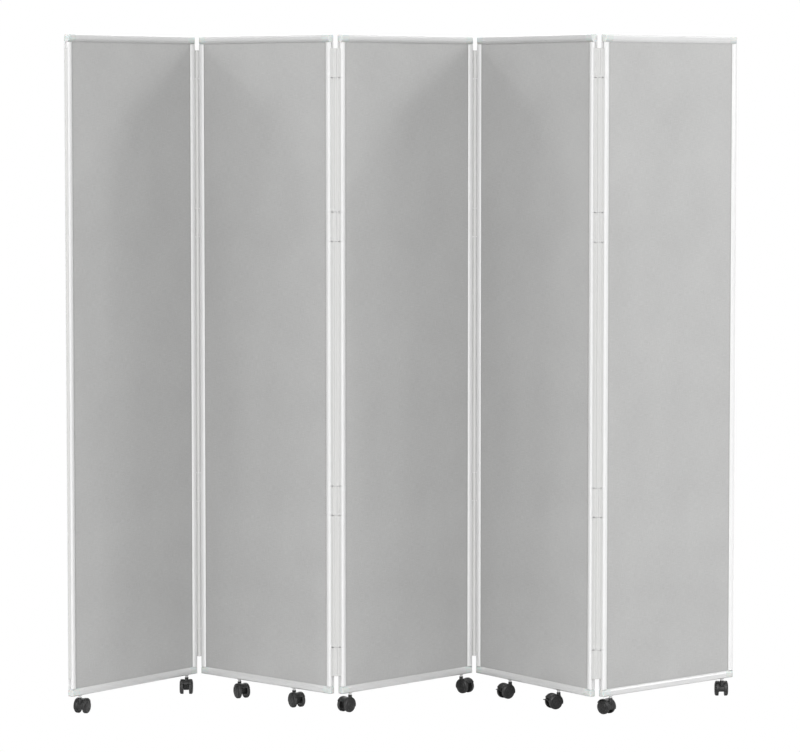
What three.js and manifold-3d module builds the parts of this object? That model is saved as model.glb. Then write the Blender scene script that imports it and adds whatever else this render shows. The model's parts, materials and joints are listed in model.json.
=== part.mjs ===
// A mobile folding room divider: five fabric-faced panels in slim rounded frames, joined by four
// full-height hinges and standing on ten twin-wheel casters. Millimetres, +Z up, front towards -Y,
// origin on the floor under the middle of the divider's bounding box.
import * as THREE from "three";
import { mergeVertices } from "three/addons/utils/BufferGeometryUtils.js";
import Module from "manifold-3d";

const wasm = await Module();
wasm.setup();

// ---------------------------------------------------------------- driving dimensions

const CLEARANCE = 0.3; // between pieces that touch on the real object

// Panels. A panel's own frame has X along its width, Y through its thickness and Z up.
const PANEL_WIDTH = 520;
const PANEL_HEIGHT = 1774;
const PANEL_THICKNESS = 19;
const FLOOR_TO_PANEL = 51;
const PANEL_YAWS = [52.9, -44.9, 46.4, -54.9, 42.8]; // degrees, left to right

// Frame members
const RAIL_WIDTH = 20; // seen from the front
const STILE_WIDTH = 17.5;
const EDGE_RADIUS = 5; // of the outer edges
const LIP_HALF_THICKNESS = 5.2; // of the frame where its faces have curved down to the board
const CORNER_RADIUS = 4; // of the panel's outline at its four corners
const BOARD_THICKNESS = 9;
const BOARD_INSERT = 6; // how far the board enters the frame
const SLOT_WIDTH = 3.6; // groove along the outer edge of each stile
const SLOT_DEPTH = 3;

// Hinges
const HINGE_BELOW_TOP = 36;
const HINGE_ABOVE_BOTTOM = 48;
const HINGE_LENGTH = PANEL_HEIGHT - HINGE_BELOW_TOP - HINGE_ABOVE_BOTTOM;
const PIN_BEYOND_EDGE = 5;
const PIN_BEYOND_FACE = 0.5;
const PIN_RADIUS = 2;
const PIN_BORE_RADIUS = 2.45;
const KNUCKLE_RADIUS = 4.7;
const KNUCKLE_GAP = 1;
const SHORT_KNUCKLE = 79; // four of these on the left leaf
const OUTER_LONG_KNUCKLE = 358; // two of these and a middle one on the right leaf
const LEAF_HALF_WIDTH = 4.5;
const LEAF_THICKNESS = 1.5;
const LUG_FOOT = 2; // where a knuckle's lug starts on the leaf, from its middle

// Casters. A caster's own frame has Z along its stem and X towards the axle.
const TRAIL = 15;
const WHEEL_RADIUS = 19.5;
const WHEEL_SIDES = 20;
const CASTER_WIDTH = 37.5;
const WHEEL_GAP = 15; // between the two wheels
const AXLE_RADIUS = 3;
const AXLE_BORE_RADIUS = 3.7;
const HOOD_WIDTH = 34;
const HOOD_INNER_RADIUS = 20.8;
const HOOD_OUTER_RADIUS = 22.2;
const HOOD_START = 30; // degrees round the axle, from the trailing side
const HOOD_END = 195;
const WEB_WIDTH = 13.4; // the housing's middle part, between the wheels
const WEB_HUB_RADIUS = 8.5;
const BRAKE_WIDTH = 11;
const BRAKE_PIVOT_X = 15; // from the axle
const BRAKE_PIVOT_Z = 4.5;
const NECK_RADIUS = 5.2;
const NECK_TOP = 44.8;
const STEM_RADIUS = 4;
const STEM_INSERT = 11; // how far the stem enters the bottom rail
const STEM_BORE_RADIUS = 4.7;
const STEM_BORE_DEPTH = 12.5;
const OUTER_INSET = 38; // from the end of panels 1, 3 and 5
const INNER_INSET = 150; // from the end of panels 2 and 4

// Each caster's heading in plan, in degrees from +X, from its stem towards its axle.
const CASTER_HEADINGS = [
  [68, -90],
  [-62, -60],
  [-132, -42],
  [-147, -156],
  [137, 90],
];
const BRAKED_PANEL = 4;

// ---------------------------------------------------------------- materials

function material(color, roughness, metalness = 0) {
  return new THREE.MeshStandardMaterial({ color, roughness, metalness });
}

const fabric = material(0xa8a8a7, 0.95);
const satinFrame = material(0xe4e4e2, 0.4, 0.3);
const hingeGrey = material(0xdcdcd9, 0.45, 0.2);
const steel = material(0xb8b8b6, 0.3, 1);
const blackNylon = material(0x2b2b2b, 0.5);

// ---------------------------------------------------------------- shape helpers

const radians = THREE.MathUtils.degToRad;

function arc(x, y, radius, from, to, steps) {
  const points = [];
  for (let i = 0; i <= steps; i++) {
    const angle = radians(from + ((to - from) * i) / steps);
    points.push([x + radius * Math.cos(angle), y + radius * Math.sin(angle)]);
  }
  return points;
}

function rectangle(x0, y0, x1, y1) {
  return [
    [x0, y0],
    [x1, y0],
    [x1, y1],
    [x0, y1],
  ];
}

function outline(points) {
  return points.map(([x, y]) => new THREE.Vector2(x, y));
}

// A prism standing on z = bottom, with optional holes. Its outline may run either way round.
function prism(points, bottom, height, holes = []) {
  const edge = outline(points);
  const shape = new THREE.Shape(THREE.ShapeUtils.isClockWise(edge) ? edge.reverse() : edge);
  shape.holes = holes.map((hole) => new THREE.Path(outline(hole)));
  const geometry = new THREE.ExtrudeGeometry(shape, { depth: height, bevelEnabled: false });
  return geometry.translate(0, 0, bottom);
}

// A section drawn in Y and Z, swept along X.
function prismAlongX(points, start, length) {
  const turn = new THREE.Matrix4().set(0, 0, 1, 0, 1, 0, 0, 0, 0, 1, 0, 0, 0, 0, 0, 1);
  return prism(points, start, length).applyMatrix4(turn);
}

// A side view drawn in X and Z, swept across Y and centred on y = 0.
function prismAcrossY(points, width, holes = []) {
  return prism(points, -width / 2, width, holes).rotateX(Math.PI / 2);
}

function cylinder(radius, sides, bottom, top) {
  return prism(arc(0, 0, radius, 0, 360, sides).slice(0, sides), bottom, top - bottom);
}

function solid(geometry) {
  const bare = geometry.clone();
  bare.deleteAttribute("normal");
  bare.deleteAttribute("uv");
  const merged = mergeVertices(bare, 1e-4);
  return new wasm.Manifold(
    new wasm.Mesh({
      numProp: 3,
      vertProperties: merged.attributes.position.array,
      triVerts: new Uint32Array(merged.index.array),
    }),
  );
}

function join(...geometries) {
  return geometries.map(solid).reduce((whole, piece) => whole.add(piece));
}

function geometryOf(made) {
  const { vertProperties, triVerts } = made.getMesh();
  const geometry = new THREE.BufferGeometry();
  geometry.setAttribute("position", new THREE.BufferAttribute(vertProperties, 3));
  geometry.setIndex(new THREE.BufferAttribute(triVerts, 1));
  geometry.computeVertexNormals();
  return geometry;
}

function piece(name, geometry, finish) {
  const mesh = new THREE.Mesh(geometry, finish);
  mesh.name = name;
  return mesh;
}

// ---------------------------------------------------------------- panels

const HALF_THICKNESS = PANEL_THICKNESS / 2;
const CHANNEL_DEPTH = BOARD_INSERT + CLEARANCE;
const CHANNEL_HALF_WIDTH = BOARD_THICKNESS / 2 + CLEARANCE;

// A frame member's face curves from the lip beside the board up to a crown at the middle.
function crownCurve(faceWidth) {
  const half = faceWidth / 2;
  const rise = HALF_THICKNESS - LIP_HALF_THICKNESS;
  return arc(0, 0, 1, 180, 90, 4).map(([x, y]) => [half * (x - 1), LIP_HALF_THICKNESS + rise * y]);
}

// The rounded frame section. The first number is the distance out from the panel, 0 at its edge.
function frameSection(faceWidth, edgePoints, channelPoints) {
  const flat = HALF_THICKNESS - EDGE_RADIUS;
  const mirrored = ([x, y]) => [x, -y];
  return [
    ...crownCurve(faceWidth).map(mirrored),
    ...arc(-EDGE_RADIUS, -flat, EDGE_RADIUS, -90, 0, 4),
    ...edgePoints,
    ...arc(-EDGE_RADIUS, flat, EDGE_RADIUS, 0, 90, 4),
    ...crownCurve(faceWidth).reverse(),
    ...channelPoints,
  ];
}

const stileSlot = [
  [0, -SLOT_WIDTH / 2],
  [-SLOT_DEPTH, -SLOT_WIDTH / 2],
  [-SLOT_DEPTH, SLOT_WIDTH / 2],
  [0, SLOT_WIDTH / 2],
];
const stileChannel = [
  [-STILE_WIDTH, CHANNEL_HALF_WIDTH],
  [-STILE_WIDTH + CHANNEL_DEPTH, CHANNEL_HALF_WIDTH],
  [-STILE_WIDTH + CHANNEL_DEPTH, -CHANNEL_HALF_WIDTH],
  [-STILE_WIDTH, -CHANNEL_HALF_WIDTH],
];

// side is -1 for the left stile and 1 for the right one.
function stileGeometry(side, hasCoverStrip) {
  const bottom = RAIL_WIDTH + CLEARANCE;
  const edge = side < 0 ? 0 : PANEL_WIDTH;
  const place = ([x, y]) => [edge + side * x, y];
  const section = frameSection(STILE_WIDTH, stileSlot, stileChannel).map(place);
  const stile = prism(section, bottom, PANEL_HEIGHT - 2 * bottom);
  if (!hasCoverStrip) return stile;
  const half = SLOT_WIDTH / 2 - 0.1;
  const strip = rectangle(-SLOT_DEPTH - 0.1, -half, LEAF_THICKNESS, half);
  const cap = rectangle(0.05, -LEAF_HALF_WIDTH, LEAF_THICKNESS, LEAF_HALF_WIDTH);
  return geometryOf(
    join(
      stile,
      prism(strip.map(place), HINGE_ABOVE_BOTTOM, HINGE_LENGTH),
      prism(cap.map(place), HINGE_ABOVE_BOTTOM, HINGE_LENGTH),
    ),
  );
}

// A rail and its two corner mouldings. side is -1 for the bottom rail and 1 for the top one.
function railGeometry(side, stemPlaces) {
  const edge = side < 0 ? 0 : PANEL_HEIGHT;
  const section = frameSection(RAIL_WIDTH, [], []).map(([out, y]) => [y, edge + side * out]);
  const flat = HALF_THICKNESS - EDGE_RADIUS;
  const plan = [
    ...arc(EDGE_RADIUS, -flat, EDGE_RADIUS, 180, 270, 4),
    ...arc(PANEL_WIDTH - EDGE_RADIUS, -flat, EDGE_RADIUS, 270, 360, 4),
    ...arc(PANEL_WIDTH - EDGE_RADIUS, flat, EDGE_RADIUS, 0, 90, 4),
    ...arc(EDGE_RADIUS, flat, EDGE_RADIUS, 90, 180, 4),
  ];
  const inner = edge - side * RAIL_WIDTH;
  const roundAt = edge - side * CORNER_RADIUS;
  const elevation = [
    [0, inner],
    ...arc(CORNER_RADIUS, roundAt, CORNER_RADIUS, 180, 180 - side * 90, 3),
    ...arc(PANEL_WIDTH - CORNER_RADIUS, roundAt, CORNER_RADIUS, side * 90, 0, 3),
    [PANEL_WIDTH, inner],
  ];
  const channel = rectangle(
    -CHANNEL_HALF_WIDTH,
    inner,
    CHANNEL_HALF_WIDTH,
    inner + side * CHANNEL_DEPTH,
  );
  const channelStart = STILE_WIDTH - BOARD_INSERT - CLEARANCE;
  let rail = solid(prismAlongX(section, 0, PANEL_WIDTH))
    .intersect(solid(prism(plan, edge - RAIL_WIDTH, 2 * RAIL_WIDTH)))
    .intersect(solid(prismAcrossY(elevation, PANEL_THICKNESS)))
    .subtract(solid(prismAlongX(channel, channelStart, PANEL_WIDTH - 2 * channelStart)));
  for (const x of stemPlaces) {
    const bore = cylinder(STEM_BORE_RADIUS, 12, 0, STEM_BORE_DEPTH).translate(x, 0, 0);
    rail = rail.subtract(solid(bore));
  }
  return geometryOf(rail);
}

function boardGeometry() {
  const width = PANEL_WIDTH - 2 * (STILE_WIDTH - BOARD_INSERT);
  const height = PANEL_HEIGHT - 2 * (RAIL_WIDTH - BOARD_INSERT);
  const board = new THREE.BoxGeometry(width, BOARD_THICKNESS, height);
  return board.translate(PANEL_WIDTH / 2, 0, PANEL_HEIGHT / 2);
}

// ---------------------------------------------------------------- hinges

// In a leaf's section the first number runs out from the stile's edge, and the second towards the
// face that the pin stands at.
const PIN_OFFSET = HALF_THICKNESS + PIN_BEYOND_FACE;

function leafSection() {
  const tongue = SLOT_WIDTH / 2 - CLEARANCE;
  const front = CLEARANCE + LEAF_THICKNESS;
  return [
    [CLEARANCE, -LEAF_HALF_WIDTH],
    [front, -LEAF_HALF_WIDTH],
    [front, LEAF_HALF_WIDTH],
    [CLEARANCE, LEAF_HALF_WIDTH],
    [CLEARANCE, tongue],
    [CLEARANCE - SLOT_DEPTH + 0.2, tongue],
    [CLEARANCE - SLOT_DEPTH + 0.2, -tongue],
    [CLEARANCE, -tongue],
  ];
}

function knuckleSection() {
  return [
    [CLEARANCE, LUG_FOOT],
    [CLEARANCE + LEAF_THICKNESS, LUG_FOOT],
    ...arc(PIN_BEYOND_EDGE, PIN_OFFSET, KNUCKLE_RADIUS, -60, 180, 8),
  ];
}

// Heights of the knuckles above the panel's bottom, as [bottom, height] pairs for each leaf.
function knuckleRuns() {
  const middle = HINGE_LENGTH - 4 * SHORT_KNUCKLE - 2 * OUTER_LONG_KNUCKLE;
  const lengths = [
    SHORT_KNUCKLE,
    OUTER_LONG_KNUCKLE,
    SHORT_KNUCKLE,
    middle,
    SHORT_KNUCKLE,
    OUTER_LONG_KNUCKLE,
    SHORT_KNUCKLE,
  ];
  const runs = { left: [], right: [] };
  let bottom = HINGE_ABOVE_BOTTOM;
  lengths.forEach((length, i) => {
    const leaf = i % 2 === 0 ? "left" : "right";
    runs[leaf].push([bottom + KNUCKLE_GAP / 2, length - KNUCKLE_GAP]);
    bottom += length;
  });
  return runs;
}

// edgeSide is the side of the panel that the leaf is on, and pinSide the face that the pin is at.
function leafGeometry(edgeSide, pinSide, runs) {
  const edge = edgeSide < 0 ? 0 : PANEL_WIDTH;
  const place = ([out, towardsPin]) => [edge + edgeSide * out, pinSide * towardsPin];
  const bore = arc(PIN_BEYOND_EDGE, PIN_OFFSET, PIN_BORE_RADIUS, 0, 360, 10).slice(0, 10);
  const knuckles = runs.map(([bottom, height]) =>
    prism(knuckleSection().map(place), bottom, height, [bore.map(place)]),
  );
  const strip = prism(leafSection().map(place), HINGE_ABOVE_BOTTOM, HINGE_LENGTH);
  return geometryOf(join(strip, ...knuckles));
}

function pinGeometry(pinSide) {
  const bottom = HINGE_ABOVE_BOTTOM + KNUCKLE_GAP;
  const top = PANEL_HEIGHT - HINGE_BELOW_TOP - KNUCKLE_GAP;
  const pin = cylinder(PIN_RADIUS, 10, bottom, top);
  return pin.translate(PANEL_WIDTH + PIN_BEYOND_EDGE, pinSide * PIN_OFFSET, 0);
}

// ---------------------------------------------------------------- casters

const AXLE_HEIGHT = WHEEL_RADIUS;

// Two wheels on one axle, turned about Y, resting on a flat so that they stand still.
function wheelsGeometry() {
  const rim = WHEEL_RADIUS / Math.cos(Math.PI / WHEEL_SIDES);
  const outside = CASTER_WIDTH / 2;
  const inside = WHEEL_GAP / 2;
  const half = [
    [AXLE_RADIUS, inside],
    [rim, inside],
    [rim, outside - 5],
    [rim - 1.5, outside - 1.5],
    [rim - 5, outside],
    [0, outside],
  ];
  const mirrored = half.map(([radius, y]) => [radius, -y]).reverse();
  const wheels = new THREE.LatheGeometry(outline([...mirrored, ...half]), WHEEL_SIDES);
  return wheels.rotateY(Math.PI / WHEEL_SIDES).translate(TRAIL, 0, AXLE_HEIGHT);
}

function housingGeometry() {
  const round = (radius, from, to, steps) => arc(TRAIL, AXLE_HEIGHT, radius, from, to, steps);
  const hood = [
    ...round(HOOD_OUTER_RADIUS, HOOD_START, HOOD_END, 10),
    ...round(HOOD_INNER_RADIUS, HOOD_END, HOOD_START, 10),
  ];
  const middle = (HOOD_INNER_RADIUS + HOOD_OUTER_RADIUS) / 2;
  const web = [
    ...round(middle, HOOD_START + 8, HOOD_END - 2, 8),
    ...round(WEB_HUB_RADIUS, HOOD_END + 40, 360, 5),
  ];
  const axleBore = round(AXLE_BORE_RADIUS, 0, 360, 10).slice(0, 10);
  return geometryOf(
    join(
      prismAcrossY(hood, HOOD_WIDTH),
      prismAcrossY(web, WEB_WIDTH, [axleBore]),
      cylinder(NECK_RADIUS, 10, AXLE_HEIGHT + 8, NECK_TOP),
      cylinder(STEM_RADIUS, 10, NECK_TOP - 1, FLOOR_TO_PANEL + STEM_INSERT),
    ),
  );
}

// A pedal that pivots between the wheels, below the hood's edge, with a shoe towards the axle.
// The outline is counted from the pivot.
function brakeGeometry() {
  const lever = [
    [-2.4, -4.5],
    [1.5, -4],
    [3.5, -0.5],
    [14, 1.5],
    [15, 3],
    [4, 3.4],
    [-0.5, 2.4],
    [-2.6, 0.8],
  ];
  const fromPivot = ([x, z]) => [TRAIL + BRAKE_PIVOT_X + x, AXLE_HEIGHT + BRAKE_PIVOT_Z + z];
  return prismAcrossY(lever.map(fromPivot), BRAKE_WIDTH);
}

function casterGroup(number, braked) {
  const caster = new THREE.Group();
  caster.add(piece(`caster_${number}_housing`, housingGeometry(), blackNylon));
  caster.add(piece(`caster_${number}_wheels`, wheelsGeometry(), blackNylon));
  if (braked) caster.add(piece(`caster_${number}_brake_lever`, brakeGeometry(), blackNylon));
  return caster;
}

// ---------------------------------------------------------------- assembly

// Hinge number i joins panel i and panel i + 1. Its pin stands at the front faces where the two
// panels fold front to front, and at the back faces at the next hinge.
function pinSideOf(hinge) {
  return hinge % 2 === 1 ? -1 : 1;
}

function stemPlacesOf(number) {
  const inset = number % 2 === 1 ? OUTER_INSET : INNER_INSET;
  return [inset, PANEL_WIDTH - inset];
}

function panelGroup(number) {
  const isFirst = number === 1;
  const isLast = number === PANEL_YAWS.length;
  const stems = stemPlacesOf(number);
  const name = (part) => `panel_${number}_${part}`;
  const panel = new THREE.Group();
  panel.add(
    piece(name("board"), boardGeometry(), fabric),
    piece(name("left_stile"), stileGeometry(-1, isFirst), satinFrame),
    piece(name("right_stile"), stileGeometry(1, isLast), satinFrame),
    piece(name("top_rail"), railGeometry(1, []), satinFrame),
    piece(name("bottom_rail"), railGeometry(-1, stems), satinFrame),
  );
  const runs = knuckleRuns();
  if (!isFirst) {
    const hinge = number - 1;
    const leaf = leafGeometry(-1, pinSideOf(hinge), runs.right);
    panel.add(piece(`hinge_${hinge}_right_leaf`, leaf, hingeGrey));
  }
  if (!isLast) {
    const leaf = leafGeometry(1, pinSideOf(number), runs.left);
    panel.add(piece(`hinge_${number}_left_leaf`, leaf, hingeGrey));
    panel.add(piece(`hinge_${number}_pin`, pinGeometry(pinSideOf(number)), steel));
  }
  stems.forEach((x, i) => {
    const caster = casterGroup(2 * number - 1 + i, number === BRAKED_PANEL);
    caster.position.set(x, 0, -FLOOR_TO_PANEL);
    caster.rotation.z = radians(CASTER_HEADINGS[number - 1][i] - PANEL_YAWS[number - 1]);
    panel.add(caster);
  });
  return panel;
}

function divider() {
  const whole = new THREE.Group();
  const pinPlace = new THREE.Vector3();
  PANEL_YAWS.forEach((yaw, i) => {
    const panel = panelGroup(i + 1);
    panel.rotation.z = radians(yaw);
    panel.position.z = FLOOR_TO_PANEL;
    const toLeftPin = new THREE.Vector3(-PIN_BEYOND_EDGE, pinSideOf(i) * PIN_OFFSET, 0);
    panel.position.add(pinPlace).sub(toLeftPin.applyEuler(panel.rotation));
    const rightPinX = PANEL_WIDTH + PIN_BEYOND_EDGE;
    const toRightPin = new THREE.Vector3(rightPinX, pinSideOf(i + 1) * PIN_OFFSET, 0);
    pinPlace.copy(panel.position).setZ(0).add(toRightPin.applyEuler(panel.rotation));
    whole.add(panel);
  });
  const middle = new THREE.Box3().setFromObject(whole, true).getCenter(new THREE.Vector3());
  whole.position.set(-middle.x, -middle.y, 0);
  return whole;
}

export default divider();
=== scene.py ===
"""The looks of a mobile folding room divider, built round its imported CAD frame.

Metres, +Z up, in the CAD model's frame: the divider stands on z = 0 and is seen from -Y. Each
panel's pieces are drawn in that panel's own frame (X along its width from the left edge, Y through
its thickness, Z up from its bottom edge), and each caster's in a frame with its origin on the floor,
Z up its stem and X towards its axle.
"""

import math

import bmesh
import bpy
from mathutils import Matrix, Vector
from mathutils.geometry import tessellate_polygon
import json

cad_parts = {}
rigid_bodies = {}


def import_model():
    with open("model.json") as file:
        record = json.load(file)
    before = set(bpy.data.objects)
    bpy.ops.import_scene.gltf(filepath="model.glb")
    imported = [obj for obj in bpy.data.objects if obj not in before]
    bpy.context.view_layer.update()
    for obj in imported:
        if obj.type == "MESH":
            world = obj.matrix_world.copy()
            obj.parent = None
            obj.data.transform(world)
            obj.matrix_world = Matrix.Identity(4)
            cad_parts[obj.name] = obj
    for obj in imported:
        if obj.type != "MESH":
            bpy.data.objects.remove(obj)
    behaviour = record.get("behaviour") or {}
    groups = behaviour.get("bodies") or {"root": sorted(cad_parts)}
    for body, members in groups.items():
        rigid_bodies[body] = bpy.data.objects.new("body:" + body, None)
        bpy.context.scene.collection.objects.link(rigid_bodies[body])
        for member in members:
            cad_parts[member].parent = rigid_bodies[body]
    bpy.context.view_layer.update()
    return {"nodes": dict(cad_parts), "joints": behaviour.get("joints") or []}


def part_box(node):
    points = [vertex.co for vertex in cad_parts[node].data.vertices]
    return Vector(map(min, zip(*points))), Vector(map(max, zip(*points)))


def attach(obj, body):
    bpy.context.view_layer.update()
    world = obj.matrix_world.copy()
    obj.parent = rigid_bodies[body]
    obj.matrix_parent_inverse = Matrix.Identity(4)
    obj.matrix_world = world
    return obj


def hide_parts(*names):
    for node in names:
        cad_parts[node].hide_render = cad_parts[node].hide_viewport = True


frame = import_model()
joints = {joint["name"]: joint for joint in frame["joints"]}

MM = 0.001
SHARP_ANGLE = 35  # degrees; edges that turn further than this are shaded as sharp

# ------------------------------------------------------------------ driving dimensions

CLEARANCE = 0.3 * MM  # between pieces that touch on the real object
OVERLAP = 0.05 * MM  # how far shapes that are joined into one run into each other
SLIVER = 0.001 * MM  # keeps the faces of joined shapes off one plane

PANELS = 5
PANEL_WIDTH = 520 * MM
HALF_THICKNESS = 9.5 * MM
RAIL_WIDTH = 20 * MM  # seen from the front
STILE_WIDTH = 17.5 * MM
EDGE_RADIUS = 5 * MM
CORNER_RADIUS = 4 * MM
LIP_HALF_THICKNESS = 5.2 * MM
BOARD_HALF_THICKNESS = 4.5 * MM
BOARD_INSERT = 6 * MM
CORNER_LENGTH = 29 * MM  # of a corner moulding, along the rail
SLOT_HALF_WIDTH = 1.8 * MM
SLOT_DEPTH = 3 * MM
PANEL_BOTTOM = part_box("panel_1_bottom_rail")[0].z
PANEL_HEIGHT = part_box("panel_1_top_rail")[1].z - PANEL_BOTTOM

HINGE_START = 48 * MM  # above the panel's bottom edge
HINGE_END = PANEL_HEIGHT - 36 * MM
# The knuckles' heights in millimetres, upwards, by turns on the left and the right leaf.
KNUCKLES = [79, 358, 79, 658, 79, 358, 79]
PIN_OUT = 5 * MM  # beyond the panel's edge
PIN_OFFSET = HALF_THICKNESS + 0.5 * MM
PIN_RADIUS = 2 * MM
PIN_BORE_RADIUS = 2.45 * MM
KNUCKLE_RADIUS = 4.7 * MM
KNUCKLE_GAP = 1 * MM
LEAF_HALF_WIDTH = 4.5 * MM
LEAF_THICKNESS = 1.5 * MM
LEAF_OUTSIDE = CLEARANCE + LEAF_THICKNESS
LEAF_RIM = 0.5 * MM  # rounding of the strip's long edges
LUG_FOOT = 2 * MM  # where a knuckle's web starts, from the middle of the panel's thickness
BEAD_FOOT = 2.2 * MM  # where a bead starts
KERF_HALF_HEIGHT = 1.3 * MM  # the saw cuts in the leaves at the ends of the knuckles
SEAM = 0.12 * MM  # between a knuckle and the bead of the other leaf
WASHER_RADIUS = 4.2 * MM

CASTERS = 10
BRAKED_CASTERS = (7, 8)
AXLE_HEIGHT = joints["roll_1"]["pos_m"][2]
TRAIL = 15 * MM
WHEEL_RADIUS = 19.5 * MM
WHEEL_INSIDE = 7.5 * MM  # from the caster's middle plane
WHEEL_OUTSIDE = 18.75 * MM
AXLE_RADIUS = 3 * MM
HOOD_OUTER_RADIUS = 22.2 * MM
HOOD_START = 30  # degrees round the axle, from the trailing side
HOOD_END = 195
WEB_HALF_WIDTH = 6.7 * MM
NECK_RADIUS = 5.2 * MM
NECK_TOP = 44.8 * MM
NECK_BOTTOM = 27 * MM
STEM_RADIUS = 4 * MM
STEM_INSERT = 11 * MM  # how far it enters the bottom rail
STEM_BORE_RADIUS = 4.7 * MM
STEM_BORE_DEPTH = 12.5 * MM

# ------------------------------------------------------------------ outlines


def arc(x, y, radius, start, end, steps, squash=1.0):
    """Points on an arc, in degrees; squash scales its height."""
    turn = math.radians(end - start)
    angles = [math.radians(start) + turn * i / steps for i in range(steps + 1)]
    return [(x + radius * math.cos(a), y + squash * radius * math.sin(a)) for a in angles]


def mirrored(points):
    return [(x, -y) for x, y in points]


def with_mirror(points):
    """Points and then their mirror images, back to the start."""
    return points + list(reversed(mirrored(points)))


def circle(x, y, radius, sides):
    return arc(x, y, radius, 0, 360, sides)[:-1]


# ------------------------------------------------------------------ mesh helpers


def loft(rings):
    """A closed shape through rings of equally many points, with flat ends."""
    count = len(rings[0])
    vertices = [point for ring in rings for point in ring]
    faces = []
    for level in range(len(rings) - 1):
        for i in range(count):
            j = (i + 1) % count
            low, high = level * count, (level + 1) * count
            faces.append((low + i, low + j, high + j, high + i))
    last = (len(rings) - 1) * count
    faces += [tuple(t) for t in tessellate_polygon([rings[0]])]
    faces += [tuple(last + i for i in t) for t in tessellate_polygon([rings[-1]])]
    return vertices, faces


def prism(outline, bottom, top, along="Z"):
    """An outline swept from bottom to top: drawn in XY along Z, in YZ along X or in XZ along Y."""
    place = {
        "X": lambda s, a, b: Vector((s, a, b)),
        "Y": lambda s, a, b: Vector((a, s, b)),
        "Z": lambda s, a, b: Vector((a, b, s)),
    }[along]
    return loft([[place(level, a, b) for a, b in outline] for level in (bottom, top)])


def turned(profile, sides, start=0, end=360):
    """A (radius, along) profile turned round the Y axis, from +X towards +Z, in degrees."""
    closed = end - start == 360
    steps = sides if closed else sides + 1
    rings = []
    for i in range(steps):
        angle = math.radians(start + (end - start) * i / sides)
        rings.append([Vector((r * math.cos(angle), y, r * math.sin(angle))) for r, y in profile])
    if not closed:
        return loft(rings)
    vertices = [point for ring in rings for point in ring]
    count = len(profile)
    faces = []
    for i in range(sides):
        a, b = i * count, ((i + 1) % sides) * count
        for k in range(count - 1):
            faces.append((a + k, a + k + 1, b + k + 1, b + k))
        if profile[0][0] > 0:
            faces.append((a + count - 1, a, b, b + count - 1))
    return vertices, faces


def upright(profile, sides):
    """A (radius, height) profile, from bottom to top, turned round the Z axis."""
    return loft([[Vector((*p, z)) for p in circle(0, 0, r, sides)] for r, z in profile])


def moved(shape, matrix):
    vertices, faces = shape
    return [matrix @ Vector(v) for v in vertices], faces


def shaded(mesh, sharp):
    """The mesh, shaded smooth between its sharp edges."""
    mesh.shade_smooth()
    mesh.set_sharp_from_angle(angle=math.radians(sharp))
    return mesh


def mesh_of(name, shape, sharp=SHARP_ANGLE):
    """A clean mesh from a shape's vertices and faces, its faces pointing out."""
    vertices, faces = shape
    mesh = bpy.data.meshes.new(name)
    mesh.from_pydata(vertices, [], faces)
    work = bmesh.new()
    work.from_mesh(mesh)
    bmesh.ops.remove_doubles(work, verts=work.verts, dist=SLIVER)
    bmesh.ops.dissolve_degenerate(work, edges=work.edges, dist=SLIVER)
    bmesh.ops.recalc_face_normals(work, faces=work.faces)
    work.to_mesh(mesh)
    work.free()
    return shaded(mesh, sharp)


def new_object(name, data):
    made = bpy.data.objects.new(name, data)
    bpy.context.scene.collection.objects.link(made)
    return made


def union(name, shapes, bores=()):
    """One closed mesh from shapes that overlap, less the bores."""
    every = [*shapes, *bores]
    parts = [new_object(f"{name}_{i}", mesh_of(f"{name}_{i}", s)) for i, s in enumerate(every)]
    whole = parts[0]
    for i, other in enumerate(parts[1:], 1):
        step = whole.modifiers.new("step", "BOOLEAN")
        step.operation = "UNION" if i < len(shapes) else "DIFFERENCE"
        step.solver = "EXACT"
        step.object = other
    bpy.context.view_layer.update()
    evaluated = whole.evaluated_get(bpy.context.evaluated_depsgraph_get())
    mesh = bpy.data.meshes.new_from_object(evaluated)
    for part in parts:
        bpy.data.objects.remove(part)
    mesh.name = name
    return shaded(mesh, SHARP_ANGLE)


def piece(name, mesh, place, body, finish, stands_for=(), bevel=0.0):
    """A named piece that rides on a body. finish is (material, the record's slot); the slot is not
    used.
    """
    material, slot = finish
    made = new_object(name, mesh)
    if not mesh.materials:
        mesh.materials.append(material)
    made.matrix_world = place
    if bevel:
        rounding = made.modifiers.new("rounding", "BEVEL")
        rounding.width = bevel
        rounding.segments = 3
        rounding.limit_method = "ANGLE"
        rounding.angle_limit = math.radians(40)
        rounding.harden_normals = True
    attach(made, body)
    if stands_for:
        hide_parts(*stands_for)
    return made


# ------------------------------------------------------------------ materials


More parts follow.
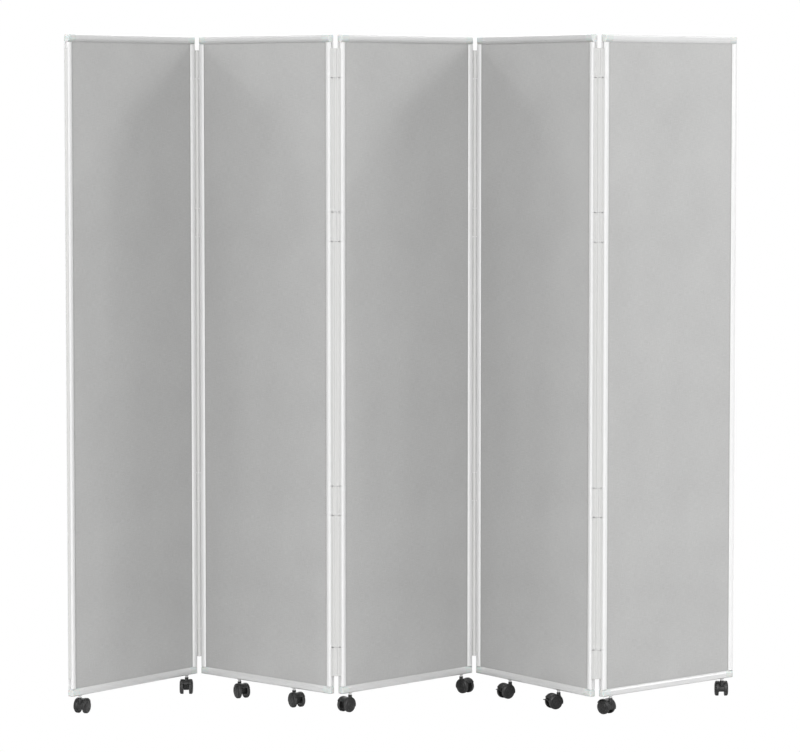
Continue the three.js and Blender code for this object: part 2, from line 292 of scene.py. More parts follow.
class Shader:
    """A Principled material and short ways to add nodes to it. Coordinates are the piece's own."""

    def __init__(self, name, colour, roughness, metallic=0.0, **constants):
        self.material = bpy.data.materials.new(name)
        self.material.use_nodes = True
        self.nodes = self.material.node_tree.nodes
        self.links = self.material.node_tree.links
        self.shader = self.nodes["Principled BSDF"]
        self.shader.inputs["Base Color"].default_value = (*colour, 1)
        self.shader.inputs["Roughness"].default_value = roughness
        self.shader.inputs["Metallic"].default_value = metallic
        for key, value in constants.items():
            self.shader.inputs[key.replace("_", " ")].default_value = value
        self.place = self.nodes.new("ShaderNodeTexCoord").outputs["Object"]

    def stretched(self, scale):
        """The place, scaled along each axis."""
        mapping = self.nodes.new("ShaderNodeMapping")
        mapping.inputs["Scale"].default_value = scale
        self.links.new(self.place, mapping.inputs["Vector"])
        return mapping.outputs["Vector"]

    def noise(self, scale, detail=3.0, vector=None):
        noise = self.nodes.new("ShaderNodeTexNoise")
        noise.inputs["Scale"].default_value = scale
        noise.inputs["Detail"].default_value = detail
        self.links.new(vector or self.place, noise.inputs["Vector"])
        return noise.outputs["Fac"]

    def math(self, operation, a, b=0.0):
        node = self.nodes.new("ShaderNodeMath")
        node.operation = operation
        for socket, value in zip(node.inputs, (a, b)):
            if isinstance(value, (int, float)):
                socket.default_value = value
            else:
                self.links.new(value, socket)
        return node.outputs[0]

    def spread(self, value, low, high, new_low, new_high):
        """The value, mapped from low...high to new_low...new_high and held inside that."""
        node = self.nodes.new("ShaderNodeMapRange")
        self.links.new(value, node.inputs["Value"])
        limits = {"From Min": low, "From Max": high, "To Min": new_low, "To Max": new_high}
        for key, number in limits.items():
            node.inputs[key].default_value = number
        return node.outputs["Result"]

    def ramp(self, value, dark, light):
        """A colour between dark and light."""
        node = self.nodes.new("ShaderNodeMix")
        node.data_type = "RGBA"
        self.links.new(value, node.inputs["Factor"])
        node.inputs["A"].default_value = (*dark, 1)
        node.inputs["B"].default_value = (*light, 1)
        return node.outputs["Result"]

    def colour(self, value):
        self.links.new(value, self.shader.inputs["Base Color"])

    def roughness(self, value):
        self.links.new(value, self.shader.inputs["Roughness"])

    def bump(self, height, distance, strength=1.0):
        node = self.nodes.new("ShaderNodeBump")
        node.inputs["Distance"].default_value = distance
        node.inputs["Strength"].default_value = strength
        self.links.new(height, node.inputs["Height"])
        self.links.new(node.outputs["Normal"], self.shader.inputs["Normal"])


def grey(level):
    return (level, level, level)


def woven_fabric():
    """A plain weave of melange yarn, its threads 0.7 mm apart, with painted shade along the stiles."""
    made = Shader("woven_fabric", grey(0.28), 0.92, Sheen_Weight=0.25, Sheen_Roughness=0.5)
    made.shader.inputs["Specular IOR Level"].default_value = 0.15
    split = made.nodes.new("ShaderNodeSeparateXYZ")
    made.links.new(made.place, split.inputs[0])
    pitch = 0.7 * MM
    across = made.math("SINE", made.math("MULTIPLY", split.outputs["X"], math.pi / pitch))
    upwards = made.math("SINE", made.math("MULTIPLY", split.outputs["Z"], math.pi / pitch))
    crossing = made.math("MULTIPLY", across, upwards)
    crown = made.math("POWER", made.math("ABSOLUTE", crossing), 0.6)
    warp = made.noise(1.0, 2.0, made.stretched((1 / pitch, 1, 45)))
    weft = made.noise(1.0, 2.0, made.stretched((45, 1, 1 / pitch)))
    yarn = made.math("MULTIPLY", made.math("ADD", warp, weft), 0.5)
    thread = made.math("ADD", made.math("MULTIPLY", crossing, 0.12), yarn)
    cloud = made.noise(6.0, 2.0)
    mixed = made.math("ADD", made.math("MULTIPLY", thread, 0.8), made.math("MULTIPLY", cloud, 0.2))
    shade = made.spread(mixed, 0.3, 0.7, 0.0, 1.0)
    # Painted shade: the fabric is darkened towards each stile over the last 4 mm before it, where the
    # frame's shadow falls.
    from_middle = made.math("ABSOLUTE", made.math("SUBTRACT", split.outputs["X"], PANEL_WIDTH / 2))
    inside = PANEL_WIDTH / 2 - STILE_WIDTH
    painted_stile_shade = made.spread(from_middle, inside - 4 * MM, inside - 1 * MM, 0, 0.6)
    shade = made.math("SUBTRACT", shade, painted_stile_shade)
    made.colour(made.ramp(shade, (0.235, 0.235, 0.232), (0.325, 0.325, 0.322)))
    made.bump(made.math("ADD", crown, made.math("MULTIPLY", yarn, 0.5)), 0.12 * MM, 0.8)
    return made.material


def satin_metal(name, level, along):
    """Silver-white anodised aluminium with a fine grain along one axis, "X" or "Z"."""
    made = Shader(name, grey(level), 0.34, 0.35)
    fine, coarse = 4000, 30
    scale = (coarse, fine, fine) if along == "X" else (fine, fine, coarse)
    grain = made.noise(1.0, 2.0, made.stretched(scale))
    cloud = made.noise(9.0, 3.0)
    made.roughness(made.spread(grain, 0.3, 0.7, 0.27, 0.41))
    made.colour(made.ramp(cloud, grey(level - 0.02), grey(level + 0.02)))
    made.bump(grain, 0.01 * MM, 0.25)
    return made.material


def moulding_plastic():
    """Pale, faintly green moulded plastic of the corners."""
    made = Shader("moulding_plastic", (0.40, 0.42, 0.41), 0.42, Subsurface_Weight=0.15)
    made.shader.inputs["Subsurface Scale"].default_value = 3 * MM
    cloud = made.noise(60.0, 3.0)
    made.colour(made.ramp(cloud, (0.385, 0.405, 0.395), (0.42, 0.437, 0.43)))
    texture = made.noise(2500.0, 2.0)
    made.roughness(made.spread(texture, 0.3, 0.7, 0.38, 0.5))
    made.bump(texture, 0.02 * MM, 0.35)
    return made.material


def hinge_strip():
    """Light grey extruded strip with faint die lines along it."""
    made = Shader("hinge_strip", (0.395, 0.395, 0.39), 0.46)
    lines = made.noise(1.0, 2.0, made.stretched((2500, 2500, 4)))
    made.colour(made.ramp(lines, (0.36, 0.36, 0.355), (0.43, 0.43, 0.425)))
    made.roughness(made.spread(lines, 0.3, 0.7, 0.4, 0.52))
    made.bump(lines, 0.02 * MM, 0.4)
    return made.material


def black_nylon():
    """Moulded black nylon, finely pitted, a little dusty."""
    made = Shader("black_nylon", grey(0.012), 0.5)
    made.shader.inputs["Specular IOR Level"].default_value = 0.3
    dust = made.noise(90.0, 4.0)
    made.colour(made.ramp(made.spread(dust, 0.35, 0.75, 0, 1), grey(0.007), grey(0.02)))
    pits = made.noise(3200.0, 2.0)
    made.roughness(made.spread(pits, 0.3, 0.7, 0.42, 0.6))
    made.bump(pits, 0.03 * MM, 0.5)
    return made.material


def wheel_nylon():
    """Harder nylon of the wheels: a dull worn tread and glossier faces."""
    made = Shader("wheel_nylon", grey(0.012), 0.4)
    made.shader.inputs["Specular IOR Level"].default_value = 0.3
    split = made.nodes.new("ShaderNodeSeparateXYZ")
    made.links.new(made.place, split.inputs[0])
    squares = made.math(
        "ADD",
        made.math("POWER", split.outputs["X"], 2.0),
        made.math("POWER", split.outputs["Z"], 2.0),
    )
    radius = made.math("SQRT", squares)
    tread = made.spread(radius, WHEEL_RADIUS - 1.5 * MM, WHEEL_RADIUS, 0, 1)
    scuff = made.math("MULTIPLY", tread, made.noise(700.0, 3.0))
    made.colour(made.ramp(scuff, grey(0.010), grey(0.045)))
    made.roughness(made.spread(tread, 0, 1, 0.36, 0.7))
    made.bump(made.noise(1800.0, 2.0), 0.02 * MM, 0.4)
    return made.material


def turned_steel():
    """Bright steel with fine turning marks round its axis."""
    made = Shader("turned_steel", grey(0.58), 0.28, 1.0)
    rings = made.noise(1.0, 2.0, made.stretched((30, 30, 4000)))
    made.roughness(made.spread(rings, 0.3, 0.7, 0.22, 0.38))
    made.bump(rings, 0.01 * MM, 0.3)
    return made.material


FABRIC = (woven_fabric(), "fabric")
# Painted light: stiles and rails are the same satin aluminium, and the stiles' copy is painted lighter
# (0.58 against 0.49) to stand in for the brighter light they catch.
STILE = (satin_metal("satin_stile", 0.58, "Z"), "satin_frame")
RAIL = (satin_metal("satin_rail", 0.49, "X"), "satin_frame")
MOULDING = (moulding_plastic(), "satin_frame")
HINGE = (hinge_strip(), "hinge_grey")
STEEL = (turned_steel(), "pin_steel")
NYLON = (black_nylon(), "black_nylon")
WHEEL = (wheel_nylon(), "black_nylon")

# ------------------------------------------------------------------ panels


def panel_frame(number):
    """A panel's own frame, from the footprint of its board."""
    points = {
        tuple(round(c, 5) for c in vertex.co.xy)
        for vertex in frame["nodes"][f"panel_{number}_board"].data.vertices
    }
    corners = [Vector(p) for p in sorted(points)]
    left = (corners[0] + corners[1]) / 2
    right = (corners[2] + corners[3]) / 2
    along = (right - left).normalized()
    origin = (left + right) / 2 - along * PANEL_WIDTH / 2
    turn = Matrix.Rotation(math.atan2(along.y, along.x), 4, "Z")
    return Matrix.Translation((origin.x, origin.y, PANEL_BOTTOM)) @ turn


def frame_section(face_width, edge_points, channel_depth):
    """Half-round section of a frame member: (distance out from the panel's edge, thickness)."""
    half = face_width / 2
    fall = HALF_THICKNESS - LIP_HALF_THICKNESS
    shares = [i / 14 for i in range(15)]
    crown = [(-face_width + half * s, LIP_HALF_THICKNESS + fall * s * (2 - s)) for s in shares]
    edge = arc(-EDGE_RADIUS, HALF_THICKNESS - EDGE_RADIUS, EDGE_RADIUS, 90, 0, 12)
    channel = BOARD_HALF_THICKNESS + CLEARANCE
    bottom = -face_width + channel_depth
    front = mirrored(crown + edge)
    back = list(reversed(crown + edge))
    inside = [(-face_width, channel), (bottom, channel)]
    return front + edge_points + back + with_mirror(inside)


STILE_SLOT = [
    (0, -SLOT_HALF_WIDTH),
    (-SLOT_DEPTH, -SLOT_HALF_WIDTH),
    (-SLOT_DEPTH, SLOT_HALF_WIDTH),
    (0, SLOT_HALF_WIDTH),
]
CHANNEL_DEPTH = BOARD_INSERT + CLEARANCE


def stile_mesh(side):
    """side is -1 for a left stile and 1 for a right one."""
    edge = PANEL_WIDTH if side > 0 else 0
    section = frame_section(STILE_WIDTH, STILE_SLOT, CHANNEL_DEPTH)
    outline = [(edge + side * out, y) for out, y in section]
    start = RAIL_WIDTH + CLEARANCE
    return mesh_of("stile", prism(outline, start, PANEL_HEIGHT - start))


def rail_mesh(side, stems=()):
    """The rail between its corner mouldings, with a blind bore from below at each stem's place.

    side is -1 for a bottom rail and 1 for a top one.
    """
    edge = PANEL_HEIGHT if side > 0 else 0
    section = frame_section(RAIL_WIDTH, [], CHANNEL_DEPTH)
    outline = [(y, edge + side * out) for out, y in section]
    start = CORNER_LENGTH + CLEARANCE
    bores = [prism(circle(x, 0, STEM_BORE_RADIUS, 24), -MM, STEM_BORE_DEPTH) for x in stems]
    return union("rail", [prism(outline, start, PANEL_WIDTH - start, "X")], bores)


def corner_mesh(side_x, side_z):
    """A corner moulding: the rail's section, run out to a rounded end."""
    edge_x = PANEL_WIDTH if side_x > 0 else 0
    edge_z = PANEL_HEIGHT if side_z > 0 else 0
    channel_start = STILE_WIDTH - BOARD_INSERT - CLEARANCE
    rounded = [EDGE_RADIUS * (1 - math.cos(math.radians(a))) for a in range(0, 91, 9)]
    stations = [(s, 0.0) for s in rounded]
    stations += [(channel_start, 0.0), (channel_start, CHANNEL_DEPTH), (CORNER_LENGTH, CHANNEL_DEPTH)]
    rings = []
    for distance, depth in stations:
        into = max(0.0, 1 - distance / EDGE_RADIUS)
        thickest = HALF_THICKNESS - EDGE_RADIUS * (1 - math.sqrt(1 - into**2))
        beyond = max(0.0, 1 - distance / CORNER_RADIUS)
        outermost = -CORNER_RADIUS * (1 - math.sqrt(1 - beyond**2))
        ring = []
        for out, y in frame_section(RAIL_WIDTH, [], depth):
            y = max(-thickest, min(thickest, y))
            out = min(out, outermost)
            ring.append(Vector((edge_x - side_x * distance, y, edge_z + side_z * out)))
        rings.append(ring)
    return mesh_of("corner", loft(rings), 40)


def board_mesh():
    """The fabric-covered board: thin where the frame grips its edges, and slightly full between."""
    left, right = STILE_WIDTH - BOARD_INSERT, PANEL_WIDTH - STILE_WIDTH + BOARD_INSERT
    low, high = RAIL_WIDTH - BOARD_INSERT, PANEL_HEIGHT - RAIL_WIDTH + BOARD_INSERT
    fullness, ramp = 0.55 * MM, 26 * MM

    def stations(start, end, spacing):
        edge = [0, 1, 3, BOARD_INSERT / MM, 8, 11, 15, 20, 26, 32]
        inner = edge[-1] * MM
        count = round((end - start - 2 * inner) / spacing)
        step = (end - start - 2 * inner) / count
        middle = [start + inner + step * i for i in range(1, count)]
        return [start + e * MM for e in edge] + middle + [end - e * MM for e in reversed(edge)]

    def rise(distance):
        share = min(1.0, max(0.0, (distance - BOARD_INSERT) / ramp))
        return math.sin(share * math.pi / 2)

    columns = stations(left, right, 40 * MM)
    rows = stations(low, high, 60 * MM)
    vertices = []
    for face in (-1, 1):
        for z in rows:
            for x in columns:
                full = rise(min(x - left, right - x)) * rise(min(z - low, high - z))
                vertices.append((x, face * (BOARD_HALF_THICKNESS + fullness * full), z))
    wide, tall = len(columns), len(rows)
    back = wide * tall
    faces = []
    for j in range(tall - 1):
        for i in range(wide - 1):
            a = j * wide + i
            faces.append((a, a + 1, a + 1 + wide, a + wide))
            faces.append((back + a, back + a + wide, back + a + 1 + wide, back + a + 1))
    rim = [(i, 0) for i in range(wide)] + [(wide - 1, j) for j in range(1, tall)]
    rim += [(i, tall - 1) for i in range(wide - 2, -1, -1)] + [(0, j) for j in range(tall - 2, 0, -1)]
    loop = [j * wide + i for i, j in rim]
    for a, b in zip(loop, loop[1:] + loop[:1]):
        faces.append((b, a, back + a, back + b))
    return mesh_of("board", (vertices, faces))


def cover_strip_mesh(side):
    """The strip that fills the groove of a free edge."""
    edge = PANEL_WIDTH if side > 0 else 0
    rim, back, play = 0.6 * MM, 0.05 * MM, 0.1 * MM
    tongue = SLOT_HALF_WIDTH - play
    half = arc(LEAF_THICKNESS - rim, LEAF_HALF_WIDTH - rim, rim, 0, 90, 5)
    half += [(back, LEAF_HALF_WIDTH), (back, tongue), (play - SLOT_DEPTH, tongue)]
    outline = [(edge + side * out, y) for out, y in with_mirror(half)]
    return mesh_of("cover_strip", prism(outline, HINGE_START, HINGE_END))


# ------------------------------------------------------------------ hinges


def knuckle_runs():
    """(bottom, top) of each knuckle, for the left and the right leaf."""
    runs = {"left": [], "right": []}
    bottom = HINGE_START
    scale = (HINGE_END - HINGE_START) / sum(KNUCKLES)
    for i, length in enumerate(KNUCKLES):
        top = bottom + length * scale
        leaf = "left" if i % 2 == 0 else "right"
        runs[leaf].append((bottom + KNUCKLE_GAP / 2, top - KNUCKLE_GAP / 2))
        bottom = top
    return runs


RUNS = knuckle_runs()


def breaks():
    """Heights where one knuckle ends and the next begins."""
    ends = sorted(top + KNUCKLE_GAP / 2 for runs in RUNS.values() for _, top in runs)
    return ends[:-1]


def strip_runs():
    """(bottom, top) of each length of a leaf's strip, between the saw cuts."""
    ends = [HINGE_START]
    for height in breaks():
        ends += [height - KERF_HALF_HEIGHT, height + KERF_HALF_HEIGHT]
    ends.append(HINGE_END)
    return list(zip(ends[::2], ends[1::2]))


# The outlines of a leaf are (out from the panel's edge, through its thickness towards the pin).
TONGUE_HALF_WIDTH = SLOT_HALF_WIDTH - CLEARANCE
TONGUE_FOOT = CLEARANCE - SLOT_DEPTH + 0.2 * MM


def strip_outline():
    """The strip on the panel's edge, with its tongue in the groove."""
    middle = LEAF_HALF_WIDTH - LEAF_RIM
    return [
        (CLEARANCE, -LEAF_HALF_WIDTH),
        *arc(LEAF_OUTSIDE - LEAF_RIM, -middle, LEAF_RIM, -90, 0, 4),
        *arc(LEAF_OUTSIDE - LEAF_RIM, middle, LEAF_RIM, 0, 90, 4),
        (CLEARANCE, LEAF_HALF_WIDTH),
        (CLEARANCE, TONGUE_HALF_WIDTH),
        (TONGUE_FOOT, TONGUE_HALF_WIDTH),
        (TONGUE_FOOT, -TONGUE_HALF_WIDTH),
        (CLEARANCE, -TONGUE_HALF_WIDTH),
    ]


def spine_outline():
    """The bottom of the tongue, which the saw cuts leave whole."""
    top = TONGUE_FOOT + 0.6 * MM
    return [
        (top, -TONGUE_HALF_WIDTH),
        (top, TONGUE_HALF_WIDTH),
        (TONGUE_FOOT, TONGUE_HALF_WIDTH),
        (TONGUE_FOOT, -TONGUE_HALF_WIDTH),
    ]


def knuckle_outline():
    """A knuckle's round barrel and the web that joins it to its own strip."""
    barrel = arc(PIN_OUT, PIN_OFFSET, KNUCKLE_RADIUS, -90, 180, 32)[:-1]
    back = CLEARANCE + SLIVER
    return [
        (LEAF_OUTSIDE - 0.4 * MM, LUG_FOOT),
        (LEAF_OUTSIDE + 0.3 * MM, LUG_FOOT),
        *barrel,
        (back, PIN_OFFSET),
        (back, LEAF_HALF_WIDTH - 0.4 * MM),
    ]


def bead_outline():
    """The bead that closes a strip up to the other leaf's knuckle."""
    return [
        *arc(PIN_OUT, PIN_OFFSET, KNUCKLE_RADIUS + SEAM, 262, 196, 14),
        *arc(-EDGE_RADIUS, HALF_THICKNESS - EDGE_RADIUS, EDGE_RADIUS + CLEARANCE, 42, 8, 8),
        (CLEARANCE + OVERLAP, BEAD_FOOT),
        (LEAF_OUTSIDE - OVERLAP, BEAD_FOOT),
    ]


def leaf_mesh(side, pin_side):
    """A strip with its own knuckles and beads; side is the panel edge, pin_side the pin's face."""
    edge = PANEL_WIDTH if side > 0 else 0

    def swept(outline, bottom, top):
        points = [(edge + side * out, pin_side * through) for out, through in outline]
        return prism(points, bottom, top)

    inset = 0.01 * MM
    own, other = ("left", "right") if side > 0 else ("right", "left")
    shapes = [swept(spine_outline(), HINGE_START + inset, HINGE_END - inset)]
    shapes += [swept(strip_outline(), low, high) for low, high in strip_runs()]
    shapes += [swept(knuckle_outline(), low, high) for low, high in RUNS[own]]
    shapes += [
        swept(bead_outline(), low + CLEARANCE, high - CLEARANCE) for low, high in RUNS[other]
    ]
    bore = swept(circle(PIN_OUT, PIN_OFFSET, PIN_BORE_RADIUS, 24), HINGE_START - MM, HINGE_END + MM)
    return union("hinge_leaf", shapes, [bore])


def pin_mesh():
    """A headless pin on the Z axis, with the washers between the knuckles."""
    bottom, top = HINGE_START + KNUCKLE_GAP, HINGE_END - KNUCKLE_GAP
    chamfer = 0.5 * MM
    half_washer = KNUCKLE_GAP / 2 - 0.15 * MM
    profile = [(PIN_RADIUS - chamfer, bottom), (PIN_RADIUS, bottom + chamfer)]
    for height in breaks():
        low, high = height - half_washer, height + half_washer
        profile += [(PIN_RADIUS, low), (WASHER_RADIUS, low)]
        profile += [(WASHER_RADIUS, high), (PIN_RADIUS, high)]
    profile += [(PIN_RADIUS, top - chamfer), (PIN_RADIUS - chamfer, top)]
    return mesh_of("hinge_pin", upright(profile, 24))


# ------------------------------------------------------------------ casters


def caster_frame(number):
    """A caster's own frame, from the places of its stem and its axle."""
    stem = Vector(joints[f"swivel_{number}"]["pos_m"])
    axle = Vector(joints[f"roll_{number}"]["pos_m"])
    heading = math.atan2(axle.y - stem.y, axle.x - stem.x)
    return Matrix.Translation((stem.x, stem.y, 0)) @ Matrix.Rotation(heading, 4, "Z")


TO_AXLE = Matrix.Translation((TRAIL, 0, AXLE_HEIGHT))


def hood_shape():
    """A thin hood with a rounded lobe over each wheel and a shallow valley between them."""
    shoulder, skin = 3.3 * MM, 1.3 * MM
    centre_r, centre_y = HOOD_OUTER_RADIUS - shoulder, 13.6 * MM
    valley = [
        (HOOD_OUTER_RADIUS, 8.2 * MM),
        (HOOD_OUTER_RADIUS - 0.35 * MM, 7.2 * MM),
        (HOOD_OUTER_RADIUS - 0.9 * MM, 6.2 * MM),
        (HOOD_OUTER_RADIUS - 1.1 * MM, 5.2 * MM),
    ]
    outer = arc(centre_r, centre_y, shoulder, 68, 0, 8) + valley
    inner = arc(centre_r, centre_y, shoulder - skin, 0, 68, 6)
    profile = with_mirror(outer) + list(reversed(mirrored(inner))) + inner
    return moved(turned(profile, 44, HOOD_START, HOOD_END), TO_AXLE)


def web_shape():
    """The web between the wheels, from under the hood to round the axle."""
    reach, hub = HOOD_OUTER_RADIUS - 1.4 * MM, 8.5 * MM
    outline = arc(TRAIL, AXLE_HEIGHT, reach, HOOD_START + 8, HOOD_END - 2, 30)
    outline += arc(TRAIL, AXLE_HEIGHT, hub, HOOD_END + 40, 360, 16)
    return prism(outline, -WEB_HALF_WIDTH, WEB_HALF_WIDTH, "Y")


def neck_shape():
    """The neck round the stem, which narrows upwards to a rounded top."""
    return upright([
        (6.6 * MM, NECK_BOTTOM),
        (6.6 * MM, 33 * MM),
        (6.2 * MM, 35.5 * MM),
        (5.6 * MM, 37.4 * MM),
        (NECK_RADIUS, 39 * MM),
        (NECK_RADIUS, NECK_TOP - 0.7 * MM),
        (NECK_RADIUS - 0.2 * MM, NECK_TOP - 0.2 * MM),
        (NECK_RADIUS - 0.7 * MM, NECK_TOP),
    ], 32)


def housing_mesh():
    """Hood, web and neck as one moulding, bored for the axle."""
    bore = circle(TRAIL, AXLE_HEIGHT, AXLE_RADIUS + CLEARANCE, 24)
    bore = prism(bore, -WEB_HALF_WIDTH - MM, WEB_HALF_WIDTH + MM, "Y")
    return union("caster_housing", [hood_shape(), web_shape(), neck_shape()], [bore])


def stem_mesh():
    """A stem with the groove of its grip ring near the top."""
    top = PANEL_BOTTOM + STEM_INSERT
    profile = [(STEM_RADIUS, NECK_TOP - 3 * MM), (STEM_RADIUS, top - 3.6 * MM)]
    profile += [(STEM_RADIUS - 0.6 * MM, top - 3.2 * MM), (STEM_RADIUS - 0.6 * MM, top - 1.8 * MM)]
    profile += [(STEM_RADIUS, top - 1.4 * MM), (STEM_RADIUS, top - 0.8 * MM), (3.2 * MM, top)]
    return mesh_of("caster_stem", upright(profile, 28))


def wheel_mesh(side):
    """One wheel on the Y axis; side is -1 or 1. Its outer face has a ring and a hub cap."""
    rim, squash = 5 * MM, 0.92
    tread_end = WHEEL_OUTSIDE - 5.1 * MM
    profile = [(0.0, WHEEL_INSIDE), (AXLE_RADIUS, WHEEL_INSIDE), (AXLE_RADIUS + 4 * MM, WHEEL_INSIDE)]
    profile.append((WHEEL_RADIUS - 3.2 * MM, WHEEL_INSIDE + 0.8 * MM))
    profile += arc(WHEEL_RADIUS - 0.9 * MM, WHEEL_INSIDE + 1.5 * MM, 0.9 * MM, -90, 0, 5)
    profile += arc(WHEEL_RADIUS - rim, tread_end, rim, 0, 78, 14, squash)
    face = WHEEL_OUTSIDE - 0.6 * MM
    profile += [(12.9 * MM, face), (12.4 * MM, face - 0.6 * MM), (11.8 * MM, face - 0.6 * MM)]
    profile += [(11.3 * MM, face), (8 * MM, face + 0.15 * MM), (4.9 * MM, face + 0.2 * MM)]
    profile += [(4.6 * MM, face - 0.2 * MM), (4.3 * MM, face - 0.2 * MM)]
    profile += arc(3.6 * MM, face + 0.1 * MM, 0.5 * MM, 0, 90, 4)
    profile.append((0.0, WHEEL_OUTSIDE))
    return mesh_of("caster_wheel", turned([(r, side * y) for r, y in profile], 56), 30)


def axle_mesh():
    """The axle between the two wheels, on the Y axis."""
    half = WHEEL_INSIDE - 0.02 * MM
    profile = [(0.0, -half), (AXLE_RADIUS, -half), (AXLE_RADIUS, half), (0.0, half)]
    return mesh_of("caster_axle", turned(profile, 24))


def brake_mesh():
    """A pedal with three grip ribs and a shoe below its pivot."""
    pivot = Vector((TRAIL + 15 * MM, 0, AXLE_HEIGHT + 4.5 * MM))
    outline = [(-2.4, -4.5), (-0.6, -4.8), (1.5, -4), (2.6, -2), (4.4, -0.6), (8, 0.5), (13.2, 1.3)]
    outline += [(14.6, 2), (15, 2.9), (14, 3.3)]
    for rib in (12.2, 9.6, 7.0):
        outline += [(rib + 0.6, 3.2), (rib + 0.3, 3.7), (rib - 0.3, 3.7), (rib - 0.6, 3.2)]
    outline += [(4, 3.3), (1.5, 3.0), (-0.5, 2.4), (-2, 1.6), (-2.6, 0.6)]
    outline = [(pivot.x + x * MM, pivot.z + z * MM) for x, z in outline]
    return mesh_of("brake_pedal", prism(outline, -5.5 * MM, 5.5 * MM, "Y"))


def socket_mesh():
    """The flange of the steel socket that holds a caster's stem, on the rail's underside."""
    low, high = PANEL_BOTTOM - 1.1 * MM, PANEL_BOTTOM + 1.2 * MM
    hole, flange, chamfer = STEM_RADIUS + 0.35 * MM, 6.5 * MM, 0.4 * MM
    profile = [(hole, low), (flange - chamfer, low), (flange, low + chamfer)]
    profile += [(flange, high), (hole, high)]
    upright_ring = moved(turned(profile, 32), Matrix.Rotation(math.pi / 2, 4, "X"))
    return mesh_of("caster_socket", upright_ring)


# ------------------------------------------------------------------ assembly


def stem_places(number):
    """How far along a panel's bottom rail its two casters' stems stand."""
    to_panel = panel_frame(number).inverted()
    casters = (2 * number - 1, 2 * number)
    return [(to_panel @ Vector(joints[f"swivel_{n}"]["pos_m"])).x for n in casters]


def build_panels():
    board = board_mesh()
    stiles = {side: stile_mesh(side) for side in (-1, 1)}
    top_rail = rail_mesh(1)
    corners = {(x, z): corner_mesh(x, z) for x in (-1, 1) for z in (-1, 1)}
    sides = {-1: "left", 1: "right"}
    levels = {-1: "bottom", 1: "top"}
    for number in range(1, PANELS + 1):
        place, body = panel_frame(number), f"panel_{number}"
        piece(f"{body}_fabric_board", board, place, body, FABRIC, [f"{body}_board"])
        for x, side in sides.items():
            node = f"{body}_{side}_stile"
            piece(f"{node}_profile", stiles[x], place, body, STILE, [node])
        rails = {-1: rail_mesh(-1, stem_places(number)), 1: top_rail}
        for z, level in levels.items():
            node = f"{body}_{level}_rail"
            piece(f"{node}_profile", rails[z], place, body, RAIL, [node])
            for x, side in sides.items():
                name = f"{body}_{level}_{side}_corner"
                piece(name, corners[x, z], place, body, MOULDING, bevel=0.35 * MM)
    for number, x in ((1, -1), (PANELS, 1)):
        name = f"panel_{number}_cover_strip"
        piece(name, cover_strip_mesh(x), panel_frame(number), f"panel_{number}", HINGE)


def build_hinges():
    leaves = {(x, y): leaf_mesh(x, y) for x in (-1, 1) for y in (-1, 1)}
    pin = pin_mesh()
    for number in range(1, PANELS):
        pin_side = -1 if number % 2 else 1
        for x, side, panel in ((1, "left", number), (-1, "right", number + 1)):
            node, body = f"hinge_{number}_{side}_leaf", f"panel_{panel}"
            place = panel_frame(panel)
            piece(f"{node}_strip", leaves[x, pin_side], place, body, HINGE, [node])
        at_pin = Matrix.Translation((PANEL_WIDTH + PIN_OUT, pin_side * PIN_OFFSET, 0))
        place = panel_frame(number) @ at_pin
        name = f"hinge_{number}_pin"
        piece(f"{name}_rod", pin, place, f"panel_{number}", STEEL, [name])


def build_casters():
    housing, stem, axle, socket = housing_mesh(), stem_mesh(), axle_mesh(), socket_mesh()
    wheels = {side: wheel_mesh(side) for side in (-1, 1)}
    pedal = brake_mesh()
    for number in range(1, CASTERS + 1):
        place, name = caster_frame(number), f"caster_{number}"
        swivel, rolling = f"{name}_swivel", f"{name}_wheel_pair"
        piece(f"{name}_hood", housing, place, swivel, NYLON, [f"{name}_housing"])
        piece(f"{name}_stem", stem, place, swivel, STEEL)
        at_axle = place @ TO_AXLE
        piece(f"{name}_inner_wheel", wheels[-1], at_axle, rolling, WHEEL, [f"{name}_wheels"])
        piece(f"{name}_outer_wheel", wheels[1], at_axle, rolling, WHEEL)
        piece(f"{name}_axle", axle, at_axle, rolling, STEEL)
        panel = joints[f"swivel_{number}"]["parent"]
        piece(f"{name}_socket", socket, place, panel, STEEL)
        if number in BRAKED_CASTERS:
            node = f"{name}_brake_lever"
            piece(f"{name}_pedal", pedal, place, f"{name}_brake", NYLON, [node], bevel=0.4 * MM)


build_panels()
build_hinges()
build_casters()

# ------------------------------------------------------------------ floor, light and camera


def seen_white(tree, output, lighting):
    """White to the camera, and the lighting shader to every other ray."""
    white = tree.nodes.new("ShaderNodeEmission")
    white.inputs["Color"].default_value = (1, 1, 1, 1)
    ray = tree.nodes.new("ShaderNodeLightPath")
    mix = tree.nodes.new("ShaderNodeMixShader")
    tree.links.new(ray.outputs["Is Camera Ray"], mix.inputs[0])
    tree.links.new(lighting, mix.inputs[1])
    tree.links.new(white.outputs[0], mix.inputs[2])
    tree.links.new(mix.outputs[0], output.inputs["Surface"])


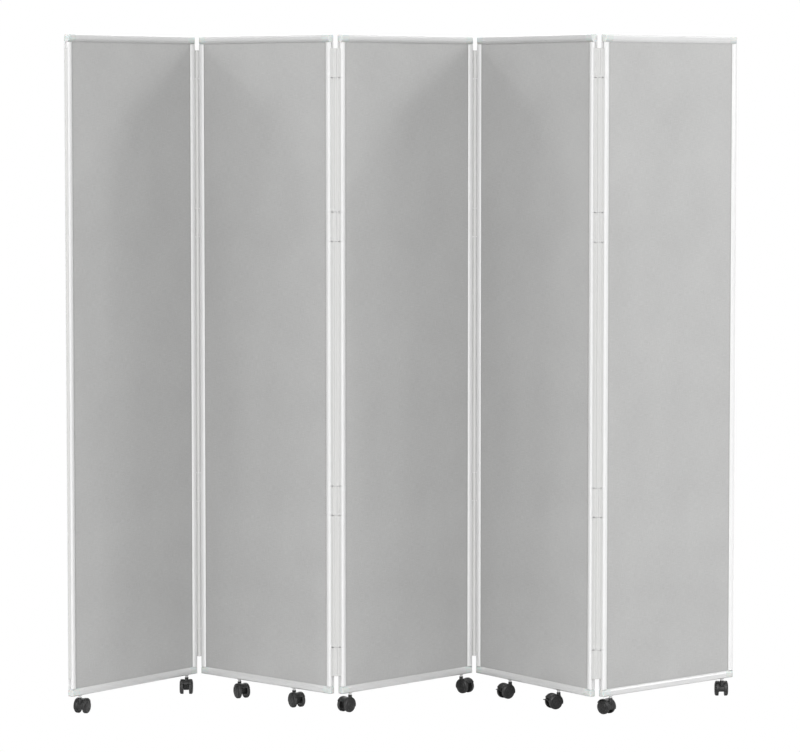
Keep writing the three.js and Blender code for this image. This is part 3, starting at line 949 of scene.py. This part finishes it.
def build_floor():
    reach, albedo = 60, 0.68
    mesh = bpy.data.meshes.new("floor")
    square = [(-reach, -reach, 0), (reach, -reach, 0), (reach, reach, 0), (-reach, reach, 0)]
    mesh.from_pydata(square, [], [(0, 1, 2, 3)])
    pale = bpy.data.materials.new("pale_floor")
    pale.use_nodes = True
    nodes = pale.node_tree.nodes
    shader = nodes["Principled BSDF"]
    shader.inputs["Base Color"].default_value = (*grey(albedo), 1)
    shader.inputs["Roughness"].default_value = 0.9
    seen_white(pale.node_tree, nodes["Material Output"], shader.outputs[0])
    mesh.materials.append(pale)
    new_object("floor", mesh)


def build_light():
    """A dim dome, a broad key sun from the front, weaker suns all round and a softbox at each side."""
    world = bpy.data.worlds.new("studio")
    bpy.context.scene.world = world
    world.use_nodes = True
    tree = world.node_tree
    dome = tree.nodes["Background"]
    dome.inputs["Color"].default_value = (1, 1, 1, 1)
    dome.inputs["Strength"].default_value = 0.44
    seen_white(tree, tree.nodes["World Output"], dome.outputs[0])
    # name, strength, height above the horizon, bearing from the right-hand side, softness
    suns = [
        ("front_key", 3.55, 35, 90, 30),
        ("right_fill", 0.64, 28, 5, 14),
        ("left_fill", 0.46, 28, 175, 14),
        ("left_front_fill", 0.27, 30, 140, 20),
        ("top_fill", 0.45, 72, 90, 40),
        ("back_fill", 1.1, 32, -90, 40),
    ]
    for name, strength, rise, bearing, softness in suns:
        light = bpy.data.lights.new(name, "SUN")
        light.energy = strength
        light.angle = math.radians(softness)
        level = math.cos(math.radians(rise))
        towards = Vector((
            level * math.cos(math.radians(bearing)),
            -level * math.sin(math.radians(bearing)),
            math.sin(math.radians(rise)),
        ))
        new_object(name, light).rotation_euler = towards.to_track_quat("Z", "Y").to_euler()
    aimed_at = Vector((0, 0, 1))
    for name, watts, x in (("right_softbox", 17, 2.6), ("left_softbox", 10, -2.6)):
        light = bpy.data.lights.new(name, "AREA")
        light.energy = watts
        light.size = 1.0
        lamp = new_object(name, light)
        lamp.location = (x, -0.9, 2.5)
        lamp.rotation_euler = (lamp.location - aimed_at).to_track_quat("Z", "Y").to_euler()


def build_camera():
    """In front of the divider's middle, 10 m away at eye height, and tilted down a little."""
    camera = bpy.data.cameras.new("camera")
    camera.sensor_width = 36
    camera.lens = 165.9
    camera.clip_end = 200
    seen_from = new_object("camera", camera)
    seen_from.location = (-0.0167, -10.0306, 1.6332)
    seen_from.rotation_euler = (math.radians(90 - 4.179), 0, 0)
    bpy.context.scene.camera = seen_from


build_floor()
build_light()
build_camera()
bpy.context.scene.view_settings.view_transform = "Standard"
